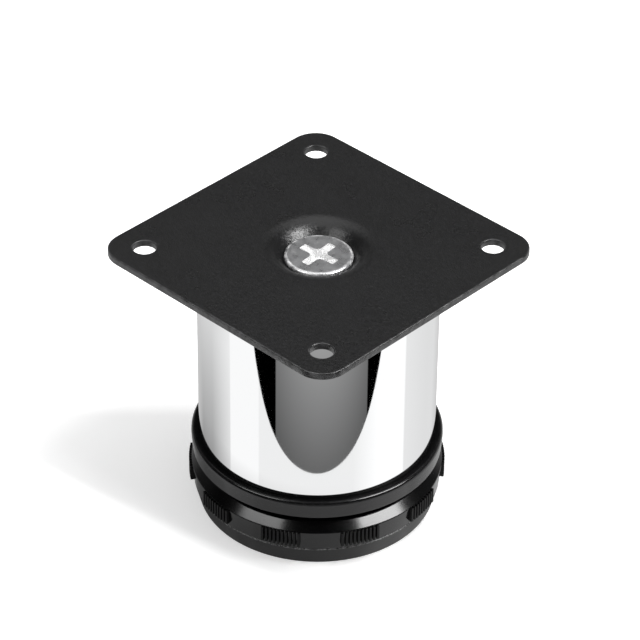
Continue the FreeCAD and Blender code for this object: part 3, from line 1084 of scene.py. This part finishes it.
def add_camera(scene, sizes):
    back = towards(sizes.azimuth, sizes.elevation)
    right = towards(sizes.azimuth + math.pi / 2)
    up = back.cross(right)
    turned_right = right * math.cos(sizes.roll) + up * math.sin(sizes.roll)
    turned_up = up * math.cos(sizes.roll) - right * math.sin(sizes.roll)
    data = bpy.data.cameras.new("camera")
    data.lens = sizes.lens
    data.sensor_width = 36.0
    data.clip_start, data.clip_end = 0.01, 30.0
    camera = bpy.data.objects.new("camera", data)
    place = right * sizes.target_side + Vector((0, 0, sizes.target_height)) + back * sizes.distance
    turn = Matrix((turned_right, turned_up, back)).transposed()
    camera.matrix_world = Matrix.Translation(place) @ turn.to_4x4()
    scene.collection.objects.link(camera)
    scene.camera = camera


def add_lamp(scene, name, azimuth, elevation, width, height, brightness, roll=0.0):
    """A soft rectangular lamp of the given brightness that looks at the leg from a metre away."""
    data = bpy.data.lights.new(name, "AREA")
    data.shape = "RECTANGLE"
    data.size, data.size_y = width, height
    data.energy = brightness * math.pi * width * height
    lamp = bpy.data.objects.new(name, data)
    back = towards(azimuth, elevation)
    aim = back.to_track_quat("Z", "Y").to_matrix().to_4x4()
    lamp.matrix_world = Matrix.Translation(back) @ aim @ Matrix.Rotation(roll, 4, "Z")
    lamp.visible_camera = False
    scene.collection.objects.link(lamp)
    return lamp


def add_softbox(scene, name, azimuth, elevation, width, height, brightness, roll):
    """A lamp that shows in gloss and metal alone."""
    softbox = add_lamp(scene, name, azimuth, elevation, width, height, brightness, roll)
    softbox.visible_diffuse = False


def add_flat(scene, name, reach, height, material):
    """A square sheet about the axis that belongs to the stage and not to the leg."""
    corners = ((-reach, -reach), (reach, -reach), (reach, reach), (-reach, reach))
    data = bpy.data.meshes.new(name)
    data.from_pydata([(x, y, height) for x, y in corners], [], [(0, 1, 2, 3)])
    data.materials.append(material)
    flat = bpy.data.objects.new(name, data)
    scene.collection.objects.link(flat)
    return flat


def seen_rays(tree, *kinds):
    """1 for rays of the named kinds, 0 for the others."""
    path = add_node(tree, "ShaderNodeLightPath")
    seen = Field(tree, path.outputs[kinds[0]])
    for kind in kinds[1:]:
        seen = seen.maths("MAXIMUM", Field(tree, path.outputs[kind]))
    return seen


def distance_along(tree, place, direction):
    """How far a place lies along a direction."""
    product = add_node(tree, "ShaderNodeVectorMath", {0: place, 1: direction}, operation="DOT_PRODUCT")
    return Field(tree, product.outputs["Value"])


def blank_material(name):
    material = bpy.data.materials.new(name)
    material.use_nodes = True
    material.node_tree.nodes.clear()
    return material, material.node_tree


def floor_finish(sizes):
    """Pale floor that keeps its shadows. It is lifted where it is seen, and painted white on two sides, a
    painted light that cuts its shadow off there.
    """
    material, tree = blank_material("floor_white")
    diffuse = add_node(tree, "ShaderNodeBsdfDiffuse", {"Color": (*[sizes.floor_white] * 3, 1.0)})
    place = object_place(tree)
    ahead = distance_along(tree, place, towards(sizes.azimuth))
    across = distance_along(tree, place, towards(sizes.azimuth + sizes.front_turn))
    # Painted light: white that cuts the shadow off behind the leg and before it on the left
    white = rise(tree, ahead, sizes.fade_start, sizes.fade_end).maths(
        "MAXIMUM", rise(tree, across, sizes.front_fade, sizes.front_fade_end))
    seen = seen_rays(tree, "Is Camera Ray", "Is Glossy Ray", "Is Transmission Ray")
    glow = add_node(tree, "ShaderNodeEmission", {"Strength": seen * white.choose(sizes.floor_lift, 1.0)})
    both = add_node(tree, "ShaderNodeAddShader", {0: diffuse.outputs[0], 1: glow.outputs[0]})
    add_node(tree, "ShaderNodeOutputMaterial", {"Surface": both.outputs[0]})
    return material


def rise(tree, value, low, high):
    """0 at the low value, 1 at the high one, straight between them and level beyond."""
    ramp = add_node(tree, "ShaderNodeMapRange", {"Value": value, "From Min": low, "From Max": high})
    return Field(tree, ramp.outputs[0])


def tube_line(ahead, side, radius):
    """Which upright line of the tube mirrors a spot on the table to the camera.

    The line is given by its distance from the tube's middle, from -1 on the left to 1 on the right.
    """
    away = (ahead * ahead + side * side).maths("SQRT")
    azimuth = side.maths("ARCTAN2", ahead)
    # At its line the tube faces halfway between camera and spot. Three rounds come close enough
    turn = azimuth * 0.5
    for step in range(3):
        turn = (azimuth + (turn.maths("SINE") * radius / away).maths("ARCSINE")) * 0.5
    return turn.maths("SINE")


def painted_reflection_finish(sizes, radius):
    """A painted reflection: a glowing sheet whose tones stand in for the table as gloss and metal see it,
    pale round the leg, with soft cards, and dark before it.
    """
    material, tree = blank_material("painted_reflection_sheet")
    place = object_place(tree)
    ahead = distance_along(tree, place, towards(sizes.azimuth))
    side = distance_along(tree, place, towards(sizes.azimuth + math.pi / 2))
    away = (ahead * ahead + side * side).maths("SQRT")
    line = tube_line(ahead, side, radius)
    # The painted tone on the left stands for the floor's shadow there. It lightens away from the leg, and
    # ends in a soft and a sharp step up to white
    left_tone = rise(tree, away, 50 * mm, 85 * mm) * 0.26 + sizes.left_painted_reflection
    left_end = rise(tree, line, -0.87, -0.72) * 0.6 + rise(tree, line, -0.722, -0.714) * 0.4
    white, tone_behind = add_number(tree, 1.0), add_number(tree, 0.6)
    tone = left_end.choose(left_tone, white)
    # The other painted tones, which stand for lit and shaded parts of the table: the lines at which each
    # change of tone starts and ends, and what it adds
    changes = ((-0.485, -0.475, sizes.front_painted_reflection - 1.0), (0.30, 0.50, 1.06 - sizes.front_painted_reflection),
               (0.715, 0.725, sizes.right_painted_reflection - 1.0), (0.74, 0.90, -0.07))
    for start, end, change in changes:
        tone += rise(tree, line, start, end) * change
    # The leg's own soft shade close to it, deepest on the left
    deepest = 0.6
    shade = rise(tree, away, 50 * mm, 28 * mm) * rise(tree, line, 0.4, -0.6) * deepest
    tone -= tone * shade
    tone = rise(tree, line.maths("ABSOLUTE"), 0.95, 1.0).choose(tone, tone_behind)
    # The dark end has a dim band between two lines, which lightens away from the leg and to its middle
    lightened = (ahead - sizes.dark_edge) * 4.3 + 0.135
    off_middle = line - 0.06
    crowned = off_middle * off_middle * -1.5 + 1.02
    band = rise(tree, line, -0.343, -0.337) - rise(tree, line, 0.405, 0.411)
    dark_tone = band * (lightened * crowned).kept_within(0.0, 0.4)
    strength = ahead.over(sizes.dark_edge).choose(tone, dark_tone)
    glow = add_node(tree, "ShaderNodeEmission", {"Strength": strength})
    add_node(tree, "ShaderNodeOutputMaterial", {"Surface": glow.outputs[0]})
    return material


def add_painted_reflection_sheet(scene, sizes, radius):
    """A glowing sheet just above the floor that only gloss and metal see. It paints the table's reflection.
    """
    sheet = add_flat(scene, "painted_reflection_sheet", 3.0, 0.05 * mm, painted_reflection_finish(sizes, radius))
    sheet.visible_camera = False
    sheet.visible_diffuse = False
    sheet.visible_shadow = False
    sheet.visible_transmission = False


def add_world(scene, sizes):
    """White where the camera sees it.

    Gloss shows a wall behind the leg with a brighter foot, a ceiling and a dark room before the leg.
    """
    world = bpy.data.worlds.new("studio")
    world.use_nodes = True
    tree = world.node_tree
    tree.nodes.clear()
    ambient = add_node(tree, "ShaderNodeBackground", {"Strength": sizes.ambient})
    direction = add_node(tree, "ShaderNodeTexCoord").outputs["Generated"]
    ahead = distance_along(tree, direction, towards(sizes.azimuth))
    wall = add_node(tree, "ShaderNodeMapRange", {
        "Value": ahead, "From Min": -0.45, "From Max": -0.05,
        "To Min": sizes.backdrop, "To Max": sizes.front}, interpolation_type="SMOOTHSTEP")
    overhead = distance_along(tree, direction, towards(sizes.azimuth + math.pi, math.radians(80)))
    ceiling = rise(tree, overhead, math.cos(math.radians(37)), math.cos(math.radians(29)))
    up = distance_along(tree, direction, Vector((0, 0, 1)))
    low_wall = rise(tree, up, 0.24, 0.08) * rise(tree, ahead, -0.35, -0.60)
    room = Field(tree, wall.outputs[0]) + ceiling * sizes.sky + low_wall * sizes.horizon
    shown = seen_rays(tree, "Is Camera Ray").choose(room, add_number(tree, 1.0))
    backdrop = add_node(tree, "ShaderNodeBackground", {"Strength": shown})
    seen = seen_rays(tree, "Is Camera Ray", "Is Glossy Ray", "Is Transmission Ray")
    both = add_node(tree, "ShaderNodeMixShader", {0: seen, 1: ambient.outputs[0], 2: backdrop.outputs[0]})
    add_node(tree, "ShaderNodeOutputWorld", {"Surface": both.outputs[0]})
    scene.world = world


def build_stage(scene, settings):
    """The floor, the painted reflection of the table, the world, the lamps and the camera."""
    sizes = settings.stage
    scene.view_settings.view_transform = "Standard"
    add_flat(scene, "floor", 4.0, 0.0, floor_finish(sizes))
    add_painted_reflection_sheet(scene, sizes, settings.tube.radius)
    add_world(scene, sizes)
    turn = math.radians
    key = add_lamp(scene, "key_lamp", sizes.azimuth + turn(57), turn(70),
                   width=0.32, height=0.24, brightness=sizes.key)
    side = add_lamp(scene, "side_lamp", sizes.azimuth + turn(112), turn(64),
                    width=0.50, height=0.40, brightness=sizes.side)
    key.visible_glossy = side.visible_glossy = False
    add_softbox(scene, "right_softbox", sizes.azimuth + turn(68), turn(46),
                width=0.56, height=0.26, brightness=sizes.sheen, roll=turn(-30))
    add_softbox(scene, "left_softbox", sizes.azimuth - turn(58), turn(49),
                width=0.52, height=0.24, brightness=sizes.left_sheen, roll=turn(24))
    add_camera(scene, sizes)


# Operators

class StageOperator(Operator):
    """Sets up the floor, the lamps, the painted reflection of the table and the camera"""
    bl_idname = "leg.stage"
    bl_label = "Stage"

    def execute(self, context):
        build_stage(context.scene, context.scene.leg)
        return {"FINISHED"}


class PlateOperator(Operator):
    """Builds the pressed mounting plate with its holes and dimple"""
    bl_idname = "leg.plate"
    bl_label = "Mounting plate"

    def execute(self, context):
        build_plate(context.scene.leg)
        return {"FINISHED"}


class ScrewOperator(Operator):
    """Builds the countersunk plate screw with its cross recess and thread"""
    bl_idname = "leg.screw"
    bl_label = "Plate screw"

    def execute(self, context):
        build_screw(context.scene.leg)
        return {"FINISHED"}


class TubeOperator(Operator):
    """Builds the chromed tube"""
    bl_idname = "leg.tube"
    bl_label = "Tube"

    def execute(self, context):
        build_tube(context.scene.leg)
        return {"FINISHED"}


class SocketOperator(Operator):
    """Builds the insert whose collar shows below the tube"""
    bl_idname = "leg.socket"
    bl_label = "Foot socket"

    def execute(self, context):
        build_socket(context.scene.leg)
        return {"FINISHED"}


class AdjusterOperator(Operator):
    """Builds the foot screw with its grip ring, grooved lugs and thread"""
    bl_idname = "leg.adjuster"
    bl_label = "Adjuster"

    def execute(self, context):
        build_adjuster(context.scene.leg)
        return {"FINISHED"}


class GlideOperator(Operator):
    """Builds the floor glide with its snap pin"""
    bl_idname = "leg.glide"
    bl_label = "Floor glide"

    def execute(self, context):
        build_glide(context.scene.leg)
        return {"FINISHED"}


class HiddenOperator(Operator):
    """Gives the plug and the nut inside the tube their finishes"""
    bl_idname = "leg.hidden"
    bl_label = "Plug and nut"

    def execute(self, context):
        dress_hidden(context.scene.leg)
        return {"FINISHED"}


class LegPanel(Panel):
    """Sizes, finishes and builders of the leg"""
    bl_idname = "VIEW3D_PT_leg"
    bl_label = "Furniture leg"
    bl_space_type = "VIEW_3D"
    bl_region_type = "UI"
    bl_category = "Leg"

    def draw(self, context):
        settings = context.scene.leg
        for operator, group in PARTS:
            box = self.layout.box()
            box.operator(operator.bl_idname)
            if group:
                sizes = getattr(settings, group)
                for name in sizes.bl_rna.properties.keys():
                    if name not in ("rna_type", "name"):
                        box.prop(sizes, name)
        self.layout.prop(settings, "sides")


# Each operator and the group of settings that the panel shows under it
PARTS = ((StageOperator, "stage"), (PlateOperator, "plate"), (ScrewOperator, "screw"),
         (TubeOperator, "tube"), (SocketOperator, "socket"), (AdjusterOperator, "adjuster"),
         (GlideOperator, "glide"), (HiddenOperator, None))
GROUPS = (PlateSizes, ScrewSizes, TubeSizes, SocketSizes, AdjusterSizes, GripSizes, GlideSizes,
          Finishes, StageSizes, LegSettings)


def register():
    for group in GROUPS:
        bpy.utils.register_class(group)
    bpy.types.Scene.leg = PointerProperty(type=LegSettings)
    for operator, group in PARTS:
        bpy.utils.register_class(operator)
    bpy.utils.register_class(LegPanel)


def unregister():
    bpy.utils.unregister_class(LegPanel)
    for operator, group in reversed(PARTS):
        bpy.utils.unregister_class(operator)
    del bpy.types.Scene.leg
    for group in reversed(GROUPS):
        bpy.utils.unregister_class(group)


def main():
    register()
    bpy.ops.leg.stage()
    bpy.ops.leg.plate()
    bpy.ops.leg.screw()
    bpy.ops.leg.tube()
    bpy.ops.leg.socket()
    bpy.ops.leg.adjuster()
    bpy.ops.leg.glide()
    bpy.ops.leg.hidden()


if __name__ == "__main__":
    main()
